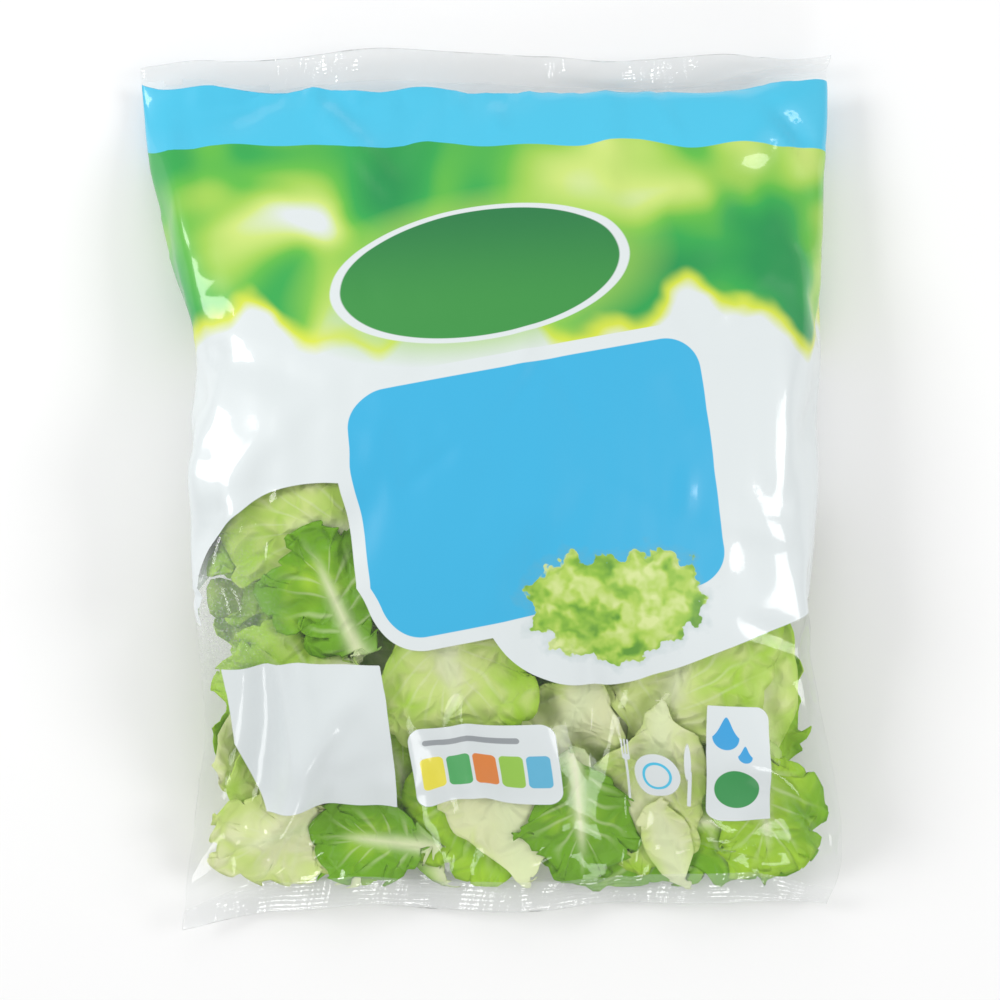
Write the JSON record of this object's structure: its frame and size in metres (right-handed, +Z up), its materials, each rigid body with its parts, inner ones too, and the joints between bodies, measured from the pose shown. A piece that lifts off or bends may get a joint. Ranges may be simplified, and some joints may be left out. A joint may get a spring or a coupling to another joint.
{
  "type": "bag of salad leaves",
  "caption": "Sealed pillow bag of cut lettuce leaves: printed clear film, crimped flat seals at both ends, lying on its back.",
  "frame": {"origin": "middle of the bag's footprint, on the surface it lies on", "axes": "+Z up, out of the printed front; +Y along the bag towards its top seal; +X to the right of the printed front"},
  "size_m": [0.234, 0.2982, 0.0564],
  "materials": {
    "film": "glossy clear film with fields of opaque print",
    "leaves": "moist satin lettuce leaf, pale along the ribs"
  },
  "bodies": {
    "root": {"salad_bag": "film"}
  },
  "joints": []
}
